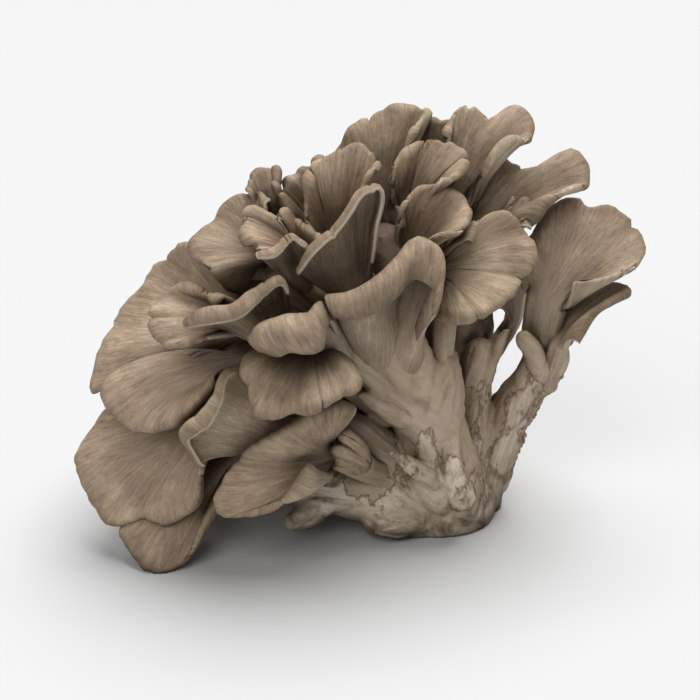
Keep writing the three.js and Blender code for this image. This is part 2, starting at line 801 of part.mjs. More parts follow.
function meshOf(name, solid, colour, roughness) {
  const data = solid.getMesh();
  const geometry = new THREE.BufferGeometry();
  geometry.setAttribute("position", new THREE.BufferAttribute(new Float32Array(data.vertProperties), 3));
  geometry.setIndex(new THREE.BufferAttribute(new Uint32Array(data.triVerts), 1));
  geometry.computeVertexNormals();
  const material = new THREE.MeshStandardMaterial({ color: colour, roughness, metalness: 0 });
  material.name = name + "_flesh";
  const mesh = new THREE.Mesh(geometry, material);
  mesh.name = name;
  return mesh;
}

const cluster = new THREE.Group();
cluster.name = "maitake_cluster";
for (const [name, solid] of pieces) {
  cluster.add(meshOf(name, solid, name === "stem_base" ? FLESH : CAP_BROWN, DULL));
}

export default cluster;
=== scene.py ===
# Maitake mushroom cluster: the looks. Metres in Blender, millimetres in the tables below.
import math

import bpy
import numpy as np
import openvdb
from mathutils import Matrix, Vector


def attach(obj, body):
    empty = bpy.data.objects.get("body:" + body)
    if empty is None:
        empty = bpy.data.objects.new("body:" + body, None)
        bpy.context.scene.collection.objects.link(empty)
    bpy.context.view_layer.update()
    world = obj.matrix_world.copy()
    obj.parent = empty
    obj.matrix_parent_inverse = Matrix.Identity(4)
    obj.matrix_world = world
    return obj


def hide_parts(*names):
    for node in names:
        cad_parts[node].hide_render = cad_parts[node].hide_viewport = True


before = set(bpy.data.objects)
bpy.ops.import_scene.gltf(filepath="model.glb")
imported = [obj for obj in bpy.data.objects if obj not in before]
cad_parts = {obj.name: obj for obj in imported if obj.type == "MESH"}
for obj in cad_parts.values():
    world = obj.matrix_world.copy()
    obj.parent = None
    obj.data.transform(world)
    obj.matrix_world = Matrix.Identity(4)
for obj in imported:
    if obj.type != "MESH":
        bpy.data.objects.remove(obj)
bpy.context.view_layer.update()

# ---------------------------------------------------------------- driving dimensions, mm
MM = 0.001
CAP_THICK = 2.9  # flesh of a cap near its neck
RIM_THICK = 1.5  # flesh at the rim of a cap
PLAIN_LIP = 3.4  # flesh that turns down past the rim of a plain frond
PLAIN_ROLL = 115  # degrees it turns through
RIM_BACK = 1.7  # how far the turn starts inside the rim
LOWEST_RIM = 0.6  # height of the rims that lie on the table
RIM_ROUND = 1.0  # how far in from the rim the edge rounds off
CELL = 0.8  # grid of the base's surface
BLEND = 1.2  # how softly one branch runs into the next
FRONT_GRID = (60, 56)  # columns and rows on each side of a frond of the front
BACK_GRID = (40, 36)  # and of a plain frond behind
STALK_ROWS = 16
CLEAR = 0.05  # least height of a frond's skin above the table
FIRST_SEED = 100
FAN_STALK = [7, 6]  # width and thickness of a plain frond's stalk
FAN_BEND = 26  # degrees at both ends of its arch
DETAIL = 1.0

# ---------------------------------------------------------------- colours and light
PAINTED_SHADE_REACH = 0.022  # metres looked round for other flesh, for the painted shade in crevices
PAINTED_SHADE_TINT = (0.17, 0.115, 0.065)  # painted shade: what is left of a colour in the deepest crevice
PAINTED_SHADE_SHUT = 0.1  # open share of the view from a place at which the painted shade is full
PAINTED_SHADE_OPEN = 0.8  # and the share at which there is none
CAP_DARK = (0.20, 0.138, 0.088)
CAP_MID = (0.32, 0.234, 0.158)
CAP_LIGHT = (0.50, 0.39, 0.275)
CAP_PALE = (0.50, 0.40, 0.29)
UNDER_DARK = (0.36, 0.275, 0.19)
UNDER_LIGHT = (0.50, 0.40, 0.29)
RIM_DARK = (0.10, 0.066, 0.042)
# pale margin of a cap, partly a painted highlight along its rounded rim
RIM_PALE_AND_HIGHLIGHT = (0.56, 0.47, 0.36)
SPOT = (0.11, 0.072, 0.045)
STEM_DARK = (0.42, 0.335, 0.24)
STEM_LIGHT = (0.66, 0.57, 0.45)
STEM_PALE = (0.72, 0.64, 0.53)
# dark fibre lines of the base, and painted shade in its grooves
STEM_LINE_AND_GROOVE_SHADE = (0.16, 0.11, 0.07)
STEM_SKIN = (0.34, 0.245, 0.162)
PEEL_SLOPE = 6.0  # how much likelier skin is a metre higher up, in shares of the noise
PEEL_AT = 0.68  # where the skin of the base ends and peeled flesh starts
PEEL_FADE = 0.02  # how softly the skin ends
TORN_FADE = 0.035  # and how far its torn line darkens the flesh
SOIL = (0.13, 0.075, 0.038)
FLOOR_TINT = (0.507, 0.510, 0.510, 1)  # pale grey of the studio floor
WORLD_LIGHT = 0.15
KEY_LIGHT = ((0.14, 0.22, 1.0), 4.55, 55)  # where it shines from, strength, width in degrees
FILL_LIGHT = ((-0.4, -1.0, 0.85), 1.35, 40)

# ---------------------------------------------------------------- the base and its branches
# Each branch is a run of [x, y, z, radius] stations.
BRANCHES = [
    ["trunk", [
        [0, -1, -6, 17.5], [0, -2, 5, 17.5], [-1, -5, 13, 16],
        [-2, -11, 22, 14], [-4, -16, 35, 10.5], [-8, -18, 46, 8.5],
    ]],
    ["front_right_stalk", [[-1, -11, 25, 10], [-1, -16, 39, 8], [-1, -19, 51, 6.5], [-1, -20, 59, 5]]],
    ["right_branch", [
        [12, 5, -4, 9], [13, 5, 8, 8.5], [16, 4, 21, 7.8], [21, 3, 31, 7],
        [26, 1, 40, 6.2], [30, 0, 48, 5.5], [32, -1, 55, 4.5],
    ]],
    ["middle_branch", [
        [7, 2, 9, 10], [9, 0, 23, 8], [9, -1, 36, 6.5],
        [10, -3, 47, 5.2], [12, -5, 57, 4.2],
    ]],
    ["middle_tip", [[11, -2, 44, 4], [15, -5, 55, 3], [20, -7, 64, 1.2]]],
    ["slim_stalk", [[6, 4, 37, 4], [6, 2, 51, 3.2], [7, 0, 61, 2.6]]],
    ["low_left_front", [
        [-7, -8, 7, 13], [-18, -13, 14, 11.5], [-28, -16, 17, 10],
        [-38, -19, 20, 8.5], [-47, -22, 22, 6],
    ]],
    ["left_front_branch", [[-10, -12, 21, 9], [-17, -17, 28, 7], [-25, -21, 37, 5.5], [-31, -22, 41, 4.5]]],
    ["left_branch", [
        [-1, 3, 20, 11], [-6, 1, 28, 10.5], [-17, -3, 38, 9],
        [-31, -8, 49, 8], [-43, -13, 56, 6.5], [-52, -18, 62, 5],
    ]],
    ["low_left_branch", [
        [-6, 0, 11, 12], [-25, 0, 18, 11], [-44, -3, 25, 9.5],
        [-59, -8, 29, 8], [-68, -12, 32, 6],
    ]],
    ["upper_left_branch", [
        [-5, 0, 37, 11], [-17, -2, 56, 10], [-30, -6, 70, 8.5],
        [-41, -12, 80, 7], [-49, -16, 87, 5],
    ]],
    ["upper_branch", [[-4, 0, 39, 11], [-8, 0, 62, 9.5], [-13, 0, 78, 8], [-17, 0, 91, 6]]],
    ["upper_right_branch", [[2, 2, 38, 10], [5, 6, 60, 8], [5, 4, 77, 7], [5, 1, 93, 5.5]]],
    ["back_branch", [[0, 6, 12, 14], [-10, 20, 32, 10], [-18, 28, 48, 7], [-22, 31, 58, 5]]],
    ["back_left_branch", [[-6, 8, 14, 12], [-28, 18, 24, 9], [-46, 22, 32, 7], [-56, 22, 38, 5]]],
    ["back_right_branch", [[4, 6, 22, 12], [10, 18, 44, 8], [12, 22, 60, 6], [12, 24, 68, 4.5]]],
    ["broken_stub", [[-4, -10, 6, 9], [-14, -18, 8, 7.5], [-19, -20, 8, 5.5]]],
    ["front_spike", [[-3, -24, 23, 3.4], [-10, -30, 30, 2.3], [-16, -35, 36, 0.7]]],
    ["left_stub", [[-13, -25, 45, 5], [-18, -29, 49, 3.3], [-25, -32, 53, 1]]],
    ["right_thorn", [[19, 3, 10, 4.5], [23, 1, 21, 2.6], [28, 0, 27, 0.7]]],
    ["right_knob", [[33, -1, 47, 3.6], [36, -4, 53, 3.6], [37, -5, 57, 2.6]]],
    ["right_stub", [[31, -4, 50, 3.8], [28, -8, 58, 3], [25, -10, 63, 2.8]]],
    ["low_tip", [[-34, -22, 17, 5], [-42, -27, 12, 3.5], [-46, -30, 10, 1.2]]],
    ["front_ridge", [[4, -19, 43, 0.9], [3, -24, 35, 2.2], [3, -26, 27, 3], [6, -22, 15, 4]]],
    ["flare_mid", [[-2, -17, 32, 7], [-9, -22, 48, 6], [-14, -27, 60, 5], [-17, -29, 69, 3]]],
    ["flare_right", [[1, -16, 32, 7], [-4, -20, 47, 6], [-7, -25, 60, 4.5], [-9, -29, 71, 2.5]]],
    ["flare_left", [[-4, -16, 32, 7], [-13, -22, 47, 6], [-22, -27, 59, 4.5], [-28, -32, 69, 2.5]]],
]

# ---------------------------------------------------------------- the fronds that face forwards
# root: where the stalk leaves its branch. neck: where the cap starts to spread.
# rim: places on the edge of the cap, left to right seen from its top with the neck below.
# rise: degrees the cap lifts off the straight line at the neck. edge: degrees it turns down at the rim.
# lip, roll: length of flesh curled past each rim place, and the degrees it curls through.
FRONDS = [
    {
        "name": "front_main",
        "root": [[-9, -20, 44], [-12, -23, 51]],
        "neck": [-16, -26, 59],
        "rim": [
            [-9, -34, 74], [-6, -40, 85], [-4, -43, 93], [-4, -40, 99], [-10, -36, 101],
            [-15, -40, 97], [-21, -44, 92], [-28, -46, 89], [-35, -46, 88],
        ],
        "stalk": [17, 10],
        "rise": -12,
        "edge": 8,
        "lip": [5, 12, 15, 17, 17, 16, 13, 11, 9],
        "roll": 175,
    },
    {
        "name": "front_left_lip",
        "root": [[-13, -20, 48], [-20, -23, 54]],
        "neck": [-29, -28, 62],
        "rim": [
            [-32, -38, 76], [-36, -46, 86], [-40, -50, 84], [-46, -52, 84], [-52, -52, 82],
            [-56, -47, 77],
        ],
        "stalk": [10, 7],
        "rise": -10,
        "edge": 8,
        "lip": [3, 8, 15, 16, 14, 8],
        "roll": 160,
    },
    {
        "name": "front_right_lobe",
        "root": [[-1, -18, 49], [-1, -21, 66]],
        "neck": [0, -20, 86],
        "rim": [
            [5, -28, 100], [9, -24, 105], [17, -22, 106], [23, -22, 101], [26, -25, 93],
            [22, -31, 88], [14, -38, 82], [4, -41, 80], [-5, -35, 80],
        ],
        "stalk": [9, 8],
        "rise": 52,
        "edge": 38,
    },
    {
        "name": "mid_upper",
        "root": [[-2, -8, 65], [-4, -10, 75]],
        "neck": [-8, -14, 90],
        "rim": [
            [-15, -26, 102], [-13, -24, 110], [-7, -22, 114], [0, -22, 114], [5, -26, 109],
            [3, -36, 105], [-4, -40, 104],
        ],
        "stalk": [7, 6],
        "rise": 25,
        "edge": 35,
    },
    {
        "name": "upper_mid",
        "root": [[0, 0, 75], [-4, -3, 87]],
        "neck": [-10, -6, 102],
        "rim": [
            [-17, -16, 110], [-16, -15, 117], [-12, -13, 122], [-5, -12, 126], [1, -14, 125],
            [5, -18, 121], [2, -24, 117], [-3, -26, 116],
        ],
        "stalk": [7, 6],
        "rise": 22,
        "edge": 35,
    },
    {
        "name": "top_left_tall",
        "root": [[-5, 5, 74], [-12, 4, 87]],
        "neck": [-18, 2, 102],
        "rim": [
            [-34, -2, 117], [-29, 0, 126], [-22, 2, 129], [-13, 4, 132], [-4, 4, 132],
            [-8, -2, 128], [-10, -6, 122],
        ],
        "stalk": [7, 6],
        "rise": 18,
        "edge": 25,
    },
    {
        "name": "top_small",
        "root": [[2, 8, 92], [-1, 8, 103]],
        "neck": [-3, 8, 114],
        "rim": [
            [-9, 4, 121], [-8, 4, 126], [-4, 4, 128], [1, 3, 127], [2, 0, 123],
        ],
        "stalk": [6, 5],
        "rise": 18,
        "edge": 25,
    },
    {
        "name": "top_cap",
        "root": [[5, 2, 79], [5, 0, 91]],
        "neck": [5, -2, 104],
        "rim": [
            [0, -2, 125], [3, 2, 131], [7, 3, 133], [14, 2, 130], [21, 2, 132],
            [26, -2, 128], [24, -8, 125], [18, -12, 125], [14, -12, 120],
        ],
        "stalk": [8, 7],
        "rise": 14,
        "edge": 30,
    },
    {
        "name": "right_upper",
        "root": [[12, 2, 71], [10, -2, 84]],
        "neck": [11, -4, 97],
        "rim": [
            [11, -4, 113], [14, 0, 116], [24, 2, 116], [32, 2, 115], [40, 4, 118],
            [45, 0, 110], [39, -8, 110], [30, -12, 107], [25, -14, 101],
        ],
        "stalk": [8, 6],
        "rise": 16,
        "edge": 30,
    },
    {
        "name": "right_inner_curl",
        "root": [[17, 0, 75], [18, -6, 86]],
        "neck": [19, -10, 97],
        "rim": [
            [19, -10, 106], [21, -8, 108], [24, -10, 107], [25, -14, 103], [23, -17, 100],
        ],
        "stalk": [5, 4],
        "rise": 14,
        "edge": 30,
    },
    {
        "name": "right_big",
        "root": [[33, 2, 47], [31, -2, 60]],
        "neck": [32, -6, 75],
        "rim": [
            [23, -4, 76], [24, -5, 90], [31, -2, 100], [37, 2, 104], [46, 5, 102],
            [54, 7, 100], [61, 7, 93], [64, 4, 87], [59, -4, 84], [50, -12, 83],
            [40, -16, 83],
        ],
        "stalk": [13, 7],
        "rise": 22,
        "edge": 30,
    },
    {
        "name": "right_lower",
        "root": [[33, -2, 45], [34, -4, 51]],
        "neck": [36, -6, 60],
        "rim": [
            [35, -3, 70], [37, 0, 75], [43, 2, 77], [50, 2, 77], [56, -2, 76],
            [49, -10, 75], [43, -14, 72], [39, -12, 63],
        ],
        "stalk": [8, 6],
        "rise": 14,
        "edge": 20,
        "lip": [1, 1, 2, 3, 3, 4, 4, 3],
        "roll": 110,
    },
    {
        "name": "tall_leaf",
        "root": [[-10, -6, 64], [-21, -10, 78]],
        "neck": [-31, -14, 94],
        "rim": [
            [-41, -27, 103], [-41, -24, 113], [-37, -20, 122], [-30, -18, 124], [-25, -18, 126],
            [-20, -22, 121], [-23, -28, 118], [-26, -30, 110],
        ],
        "stalk": [7, 6],
        "rise": 20,
        "edge": 30,
    },
    {
        "name": "behind_leaf",
        "root": [[-16, 2, 65], [-28, -2, 79]],
        "neck": [-37, -6, 93],
        "rim": [
            [-46, -20, 106], [-48, -18, 111], [-45, -14, 114], [-40, -12, 118], [-35, -8, 119],
        ],
        "stalk": [7, 6],
        "rise": 20,
        "edge": 30,
    },
    {
        "name": "inner_pointed",
        "root": [[-10, -14, 61], [-18, -20, 68]],
        "neck": [-26, -26, 79],
        "rim": [
            [-22, -36, 95], [-20, -34, 115], [-25, -36, 116], [-28, -38, 112], [-33, -40, 106],
            [-39, -42, 101], [-43, -42, 94],
        ],
        "stalk": [7, 6],
        "rise": -8,
        "edge": 25,
        "lip": [1, 3, 4, 4, 4, 4, 2],
        "roll": 80,
    },
    {
        "name": "small_top_left",
        "root": [[-25, -2, 73], [-39, -8, 89]],
        "neck": [-51, -14, 104],
        "rim": [
            [-58, -20, 111], [-57, -17, 115], [-53, -14, 117], [-49, -14, 118], [-49, -18, 112],
        ],
        "stalk": [6, 5],
        "rise": 20,
        "edge": 30,
    },
    {
        "name": "upper_left_dome",
        "root": [[-28, -6, 71], [-42, -12, 81]],
        "neck": [-54, -20, 92],
        "rim": [
            [-60, -28, 82], [-67, -36, 92], [-73, -32, 95], [-74, -28, 97], [-71, -22, 102],
            [-66, -18, 106], [-61, -16, 110], [-55, -18, 112], [-51, -26, 109],
        ],
        "stalk": [7, 6],
        "rise": 40,
        "edge": 30,
    },
    {
        "name": "curl_one",
        "root": [[-25, -12, 73], [-35, -20, 83]],
        "neck": [-46, -28, 96],
        "rim": [
            [-52, -42, 101], [-58, -40, 104], [-58, -36, 108], [-54, -32, 110], [-49, -32, 108],
        ],
        "stalk": [5, 4],
        "rise": 30,
        "edge": 30,
    },
    {
        "name": "curl_two",
        "root": [[-21, -16, 69], [-30, -24, 75]],
        "neck": [-41, -32, 86],
        "rim": [
            [-39, -40, 98], [-42, -40, 102], [-45, -40, 104], [-50, -44, 101], [-54, -46, 100],
        ],
        "stalk": [5, 4],
        "rise": -8,
        "edge": 25,
        "lip": [2, 3, 3, 4, 2],
        "roll": 90,
    },
    {
        "name": "curl_three",
        "root": [[-22, -10, 72], [-31, -18, 84]],
        "neck": [-41, -24, 96],
        "rim": [
            [-48, -30, 103], [-49, -28, 107], [-46, -26, 107], [-42, -28, 104], [-37, -32, 100],
        ],
        "stalk": [5, 4],
        "rise": 20,
        "edge": 30,
    },
    {
        "name": "far_left_big",
        "root": [[-28, -4, 57], [-45, -10, 64]],
        "neck": [-60, -16, 69],
        "rim": [
            [-74, -24, 57], [-88, -24, 52], [-102, -24, 52], [-107, -20, 50], [-105, -16, 58],
            [-101, -12, 69], [-93, -10, 78], [-88, -8, 86], [-81, -10, 91], [-75, -14, 94],
            [-65, -22, 91],
        ],
        "stalk": [8, 7],
        "rise": 26,
        "edge": 25,
    },
    {
        "name": "left_mid",
        "root": [[-28, -12, 60], [-43, -22, 67]],
        "neck": [-59, -30, 75],
        "rim": [
            [-69, -44, 75], [-80, -42, 72], [-86, -38, 76], [-86, -34, 82], [-80, -32, 86],
            [-73, -34, 87], [-64, -38, 85],
        ],
        "stalk": [7, 6],
        "rise": 26,
        "edge": 35,
    },
    {
        "name": "left_mid_inner",
        "root": [[-22, -16, 57], [-34, -24, 63]],
        "neck": [-48, -30, 68],
        "rim": [
            [-46, -46, 90], [-48, -46, 94], [-54, -48, 91], [-60, -49, 87], [-68, -48, 85],
            [-75, -46, 81],
        ],
        "stalk": [7, 6],
        "rise": -6,
        "edge": 25,
        "lip": [2, 4, 5, 6, 6, 3],
        "roll": 100,
    },
    {
        "name": "left_lower",
        "root": [[-27, -10, 48], [-43, -20, 55]],
        "neck": [-61, -27, 60],
        "rim": [
            [-67, -46, 64], [-75, -48, 55], [-85, -44, 47], [-94, -38, 45], [-101, -32, 50],
            [-101, -28, 55], [-95, -25, 60], [-87, -25, 62], [-75, -30, 64],
        ],
        "stalk": [8, 7],
        "rise": 28,
        "edge": 40,
    },
    {
        "name": "centre_low",
        "root": [[-17, -18, 41], [-28, -26, 54]],
        "neck": [-40, -32, 65],
        "rim": [
            [-25, -48, 69], [-26, -54, 65], [-31, -57, 62], [-39, -58, 60], [-48, -58, 57],
            [-56, -55, 60], [-59, -50, 65], [-58, -42, 70],
        ],
        "stalk": [8, 7],
        "rise": 45,
        "edge": 40,
    },
    {
        "name": "big_bottom_left",
        "root": [[-30, -8, 32], [-50, -14, 34]],
        "neck": [-70, -20, 38],
        "rim": [
            [-72, -40, 34], [-74, -42, 23], [-83, -40, 15], [-90, -38, 15], [-96, -36, 13],
            [-102, -33, 13], [-109, -28, 19], [-113, -22, 26], [-110, -16, 34], [-102, -15, 42],
        ],
        "stalk": [9, 8],
        "rise": 26,
        "edge": 35,
    },
    {
        "name": "outward_fold",
        "root": [[-20, -16, 29], [-33, -24, 32]],
        "neck": [-48, -31, 38],
        "rim": [
            [-59, -42, 66], [-64, -47, 65], [-66, -50, 60], [-70, -51, 55], [-75, -50, 51],
            [-76, -47, 46], [-71, -42, 36],
        ],
        "stalk": [8, 7],
        "rise": -8,
        "edge": 25,
        "lip": [2, 3, 4, 6, 6, 5, 2],
        "roll": 110,
    },
    {
        "name": "bottom_front",
        "root": [[-13, -18, 19], [-22, -24, 25]],
        "neck": [-35, -30, 34],
        "rim": [
            [-38, -46, 35], [-43, -50, 29], [-54, -50, 23], [-66, -46, 21], [-67, -44, 29],
            [-61, -44, 38], [-51, -46, 45], [-35, -46, 55], [-26, -44, 53],
        ],
        "stalk": [8, 7],
        "rise": 35,
        "edge": 40,
    },
    {
        "name": "lowest_left",
        "root": [[-34, -6, 17], [-50, -12, 23]],
        "neck": [-66, -18, 25],
        "rim": [
            [-67, -32, 17], [-72, -38, 13], [-75, -41, 7], [-79, -42, 2], [-86, -43, 0],
            [-92, -41, 3], [-98, -36, 9], [-97, -30, 12], [-89, -22, 18], [-79, -18, 25],
        ],
        "stalk": [8, 7],
        "rise": 24,
        "edge": 30,
    },
    {
        "name": "young_lobe",
        "root": [[-17, -20, 24], [-21, -26, 27]],
        "neck": [-25, -31, 31],
        "rim": [
            [-26, -38, 32], [-30, -42, 35], [-32, -43, 40], [-30, -42, 44], [-28, -40, 45],
            [-25, -37, 41],
        ],
        "stalk": [7, 6],
        "rise": 30,
        "edge": 40,
    },
    {
        "name": "inner_left",
        "root": [[-30, 2, 43], [-36, 6, 48]],
        "neck": [-43, 10, 53],
        "rim": [
            [-56, 14, 52], [-65, 16, 59], [-68, 18, 69], [-65, 20, 75], [-56, 21, 78],
            [-47, 20, 73], [-38, 18, 65],
        ],
        "stalk": [8, 6],
        "rise": 20,
        "edge": 15,
    },
]

# ---------------------------------------------------------------- the fronds behind and beneath
# [name, root, neck, tip, width of the cap]: plain fan shapes that face away from the dome's middle.
BACK_FRONDS = [
    ["back_low_left", [-56, 22, 38], [-78, 24, 38], [-84, 34, 0], 38],
    ["back_left_lower", [-68, -12, 32], [-98, 6, 54], [-101, 6, 19], 34],
    ["back_left", [-49, -16, 87], [-82, 11, 79], [-101, 22, 49], 38],
    ["back_left_upper", [-49, -16, 87], [-60, 5, 87], [-92, 15, 73], 38],
    ["back_mid_low", [-56, 22, 38], [-68, 41, 53], [-68, 42, 16], 38],
    ["back_mid_left", [-56, 22, 38], [-76, 31, 81], [-84, 48, 49], 38],
    ["back_mid_upper", [-30, -6, 70], [-52, 14, 84], [-68, 40, 68], 36],
    ["back_centre", [-22, 31, 58], [-41, 40, 81], [-42, 58, 49], 38],
    ["back_centre_upper", [-17, 0, 91], [-37, 24, 101], [-37, 54, 81], 38],
    ["back_top_left", [-41, -12, 80], [-38, 1, 90], [-73, 15, 90], 38],
    ["back_top", [-17, 0, 91], [-33, 3, 102], [-28, 39, 98], 38],
    ["back_right_top", [-17, 0, 91], [-8, 14, 102], [9, 43, 86], 38],
    ["back_right_mid", [5, 4, 77], [-4, 31, 84], [4, 51, 53], 38],
    ["back_right", [13, 8, 46], [21, 13, 56], [28, 24, 84], 38],
    ["back_right_low", [4, 18, 38], [2, 26, 52], [2, 48, 30], 34],
    ["back_low", [-22, 31, 58], [-17, 45, 53], [-17, 46, 16], 38],
    ["inner_low", [-40, -2, 50], [-50, 2, 52], [-84, 4, 56], 34],
]


# ---------------------------------------------------------------- small helpers
def unit(a):
    return a / (np.linalg.norm(a, axis=-1, keepdims=True) + 1e-12)


def smooth(t):
    s = np.clip(t, 0.0, 1.0)
    return s * s * (3.0 - 2.0 * s)


def curve(points, t):
    """Smooth curve through points, t between 0 and 1."""
    p = np.asarray(points, float)
    p = np.vstack([2 * p[0] - p[1], p, 2 * p[-1] - p[-2]])
    last = len(p) - 3
    at = np.minimum(np.asarray(t, float) * last, last - 1e-9)
    i = np.floor(at).astype(int)
    s = (at - i)[:, None]
    a, b, c, d = p[i], p[i + 1], p[i + 2], p[i + 3]
    return 0.5 * (2 * b + (c - a) * s + (2 * a - 5 * b + 4 * c - d) * s**2 + (3 * b - a - 3 * c + d) * s**3)


def even(points, count, crowd=0.0):
    """Evenly spaced places along a smooth curve, closer at both ends by crowd, and their shares of it."""
    t = np.linspace(0, 1, 400)
    q = curve(points, t)
    run = np.concatenate([[0], np.cumsum(np.linalg.norm(np.diff(q, axis=0), axis=1))])
    want = np.linspace(0, 1, count)
    want = want * (1 - crowd) + (0.5 - 0.5 * np.cos(np.pi * want)) * crowd
    share = np.interp(want * run[-1], run, t)
    return curve(points, share), share, want, run[-1]


def ripples(rng, x, waves, spread):
    """A sum of sine waves with seeded phases, about -1 to 1."""
    out = np.zeros_like(x)
    for _ in range(waves):
        turns = rng.uniform(*spread)
        out = out + np.sin(2 * np.pi * (turns * x + rng.uniform(0, 1))) / waves**0.5
    return out


LATTICE = np.random.default_rng(7).uniform(-1, 1, (32, 32, 32))


def noise(p):
    """Smooth value noise of places in cells, -1 to 1."""
    base = np.floor(p).astype(int)
    f = smooth(p - base)
    out = 0.0
    for dx in (0, 1):
        for dy in (0, 1):
            for dz in (0, 1):
                w = (f[..., 0] if dx else 1 - f[..., 0]) * (f[..., 1] if dy else 1 - f[..., 1])
                w = w * (f[..., 2] if dz else 1 - f[..., 2])
                c = (base + (dx, dy, dz)) % 32
                out = out + w * LATTICE[c[..., 0], c[..., 1], c[..., 2]]
    return out


def make_mesh(name, places, faces, fields, material):
    """A smooth shaded mesh object from places in mm, with its named vertex fields."""
    mesh = bpy.data.meshes.new(name)
    mesh.from_pydata((places * MM).tolist(), [], faces.tolist())
    for key, values in fields.items():
        kind = "FLOAT_VECTOR" if values.ndim == 2 else "FLOAT"
        layer = mesh.attributes.new(key, kind, "POINT")
        layer.data.foreach_set("vector" if values.ndim == 2 else "value", values.astype(np.float32).ravel())
    mesh.polygons.foreach_set("use_smooth", np.ones(len(mesh.polygons), bool))
    mesh.materials.append(material)
    mesh.update()
    piece = bpy.data.objects.new(name, mesh)
    bpy.context.scene.collection.objects.link(piece)
    return piece


# ---------------------------------------------------------------- a frond: stalk and cap in one skin
def frond_grid(spec, seed, columns, rows):
    """Places of one frond's skin, around by along, and the fields its colours follow."""
    rng = np.random.default_rng(seed)
    neck = np.array(spec["neck"], float)
    rim = np.array(spec["rim"], float)
    arms = rim - neck
    top = unit(-np.cross(arms[:-1], arms[1:]).sum(0))
    finish, share, want, rim_length = even(rim, columns, 0.35)
    middle = unit(curve(rim, np.array([0.5]))[0] - neck)
    side = unit(np.cross(middle, top))
    stalk_wide, stalk_thick = spec["stalk"]
    turn = np.pi * (1 - (np.arange(columns) + 0.5) / columns)

    # uneven rim: slow lobes and a few small notches
    calm = 0.3 if "lip" in spec else 1.0
    outward = unit(finish - neck)
    uneven = 0.55 * ripples(rng, want * rim_length / 30, 3, (0.8, 2.2))
    uneven = uneven + 0.22 * ripples(rng, want * rim_length / 10, 3, (0.8, 2.5))
    for _ in range(int(rng.integers(1, 4))):
        place, wide = rng.uniform(0.15, 0.85), rng.uniform(0.006, 0.014)
        uneven = uneven - rng.uniform(0.8, 2.2) * np.exp(-(((want - place) / wide) ** 2))
    finish = finish + outward * (calm * uneven)[:, None]
    if "lip" not in spec:
        finish = finish - outward * RIM_BACK

    start = neck + side * (np.cos(turn) * stalk_wide / 2)[:, None]
    chord = finish - start
    length = np.linalg.norm(chord, axis=1, keepdims=True)
    along = chord / length
    up = unit(top - along * (along @ top)[:, None])
    rise = np.radians(spec["rise"] + 5 * ripples(rng, want, 2, (0.6, 1.6)))[:, None]
    edge = np.radians(spec["edge"] + 9 * calm * ripples(rng, want, 3, (0.8, 2.4)))[:, None]
    leave = along * np.cos(rise) + up * np.sin(rise)
    arrive = along * np.cos(edge) - up * np.sin(edge)
    out = up * np.cos(edge) + along * np.sin(edge)
    t = np.linspace(0, 1, 48)[None, :, None]
    p0, p3 = start[:, None], finish[:, None]
    p1 = p0 + (leave * length / 3)[:, None]
    p2 = p3 - (arrive * length / 3)[:, None]
    ribs = (1 - t) ** 3 * p0 + 3 * t * (1 - t) ** 2 * p1 + 3 * t * t * (1 - t) * p2 + t**3 * p3
    lip = np.array(spec.get("lip", [PLAIN_LIP] * 3), float)
    roll = math.radians(spec.get("roll", PLAIN_ROLL))
    reach = np.interp(share, np.linspace(0, 1, len(lip)), lip)
    reach = reach * (1 + 0.12 * calm * ripples(rng, want, 3, (1.5, 4.0)))
    steps = 24
    curl = [finish]
    for s in range(steps):
        done = (s + 0.5) / steps
        angle = roll * done * (2 - done)
        onward = arrive * math.cos(angle) - out * math.sin(angle)
        curl.append(curl[-1] + onward * (reach / steps)[:, None])
    ribs = np.concatenate([ribs, np.stack(curl[1:], 1)], 1)

    # rows at even spacing along every rib, closing up at the rim
    fine = np.array([0.75, 0.45, 0.2, 0.05, 0.0]) * RIM_ROUND
    grid = np.zeros((columns, rows, 3))
    runs = np.zeros((columns, rows))
    totals = np.zeros(columns)
    for k in range(columns):
        run = np.concatenate([[0], np.cumsum(np.linalg.norm(np.diff(ribs[k], axis=0), axis=1))])
        total = run[-1]
        stop = total - RIM_ROUND
        at = np.concatenate([np.linspace(0, stop, rows - len(fine)), total - fine])
        runs[k] = at
        totals[k] = total
        for axis in range(3):
            grid[k, :, axis] = np.interp(at, run, ribs[k][:, axis])
    reach_share = runs / totals[:, None]
    normal = unit(np.cross(np.gradient(grid, axis=0), np.gradient(grid, axis=1)))

    # waves that grow towards the rim
    u = want[:, None] * np.ones((1, rows))
    wave = np.zeros((columns, rows))
    for _ in range(4):
        turns = rng.uniform(1.2, 4.5)
        phase = 2 * np.pi * (turns * u + rng.uniform(0, 1))
        wave += np.sin(phase + rng.uniform(-1.2, 1.2) * reach_share) / turns**0.5
    fold = ripples(rng, u + 0.03 * np.sin(5 * reach_share), 4, (6, 13))
    lift = calm * (0.75 * wave * reach_share**2 + 0.045 * fold * smooth(reach_share * 1.6))
    grid = grid + normal * lift[..., None]
    normal = unit(np.cross(np.gradient(grid, axis=0), np.gradient(grid, axis=1)))

    # flesh thickness: the stalk's ellipse, then a cap that thins to a rounded rim
    from_rim = totals[:, None] - runs
    width_here = want * rim_length
    from_side = np.minimum(width_here, rim_length - width_here)[:, None] * np.clip(reach_share, 0.15, 1)
    closest = np.minimum(from_rim, from_side)
    cap_half = 0.5 * (CAP_THICK + (RIM_THICK - CAP_THICK) * smooth(reach_share / 0.85))
    cap_half = cap_half * np.sqrt(1 - (1 - np.clip(closest / RIM_ROUND, 0.03, 1)) ** 2)
    stalk_half = (np.sin(turn) * stalk_thick / 2)[:, None]
    share_cap = smooth(reach_share / 0.42)
    half = stalk_half * (1 - share_cap) + cap_half * share_cap
    upper = grid + normal * half[..., None]
    lower = grid - normal * half[..., None]

